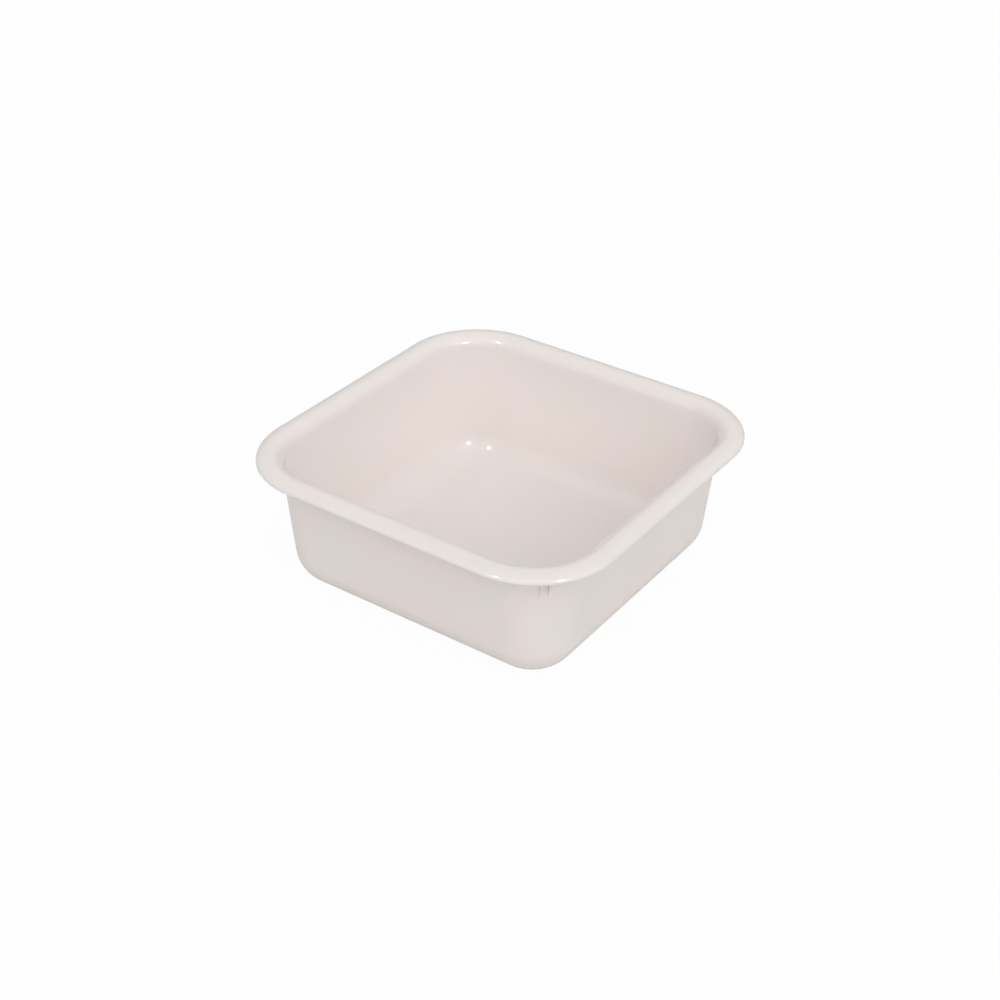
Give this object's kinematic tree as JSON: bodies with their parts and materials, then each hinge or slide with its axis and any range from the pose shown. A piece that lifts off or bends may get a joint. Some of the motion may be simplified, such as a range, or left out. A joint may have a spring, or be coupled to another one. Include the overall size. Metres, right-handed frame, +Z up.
{
  "type": "square basin",
  "caption": "Square open basin moulded in one piece, with drafted walls, deep rounded corners and a crowned rim that turns down into a lip; holds water for washing up or cleaning.",
  "frame": {"origin": "centre of the plane that the basin stands on", "axes": "+Z up through the open top, +X and +Y square to two of the four equal sides"},
  "size_m": [0.34, 0.34, 0.1275],
  "materials": {
    "moulded_plastic": "glossy moulded polypropylene, warm off-white"
  },
  "bodies": {
    "root": {"basin": "moulded_plastic"}
  },
  "joints": []
}
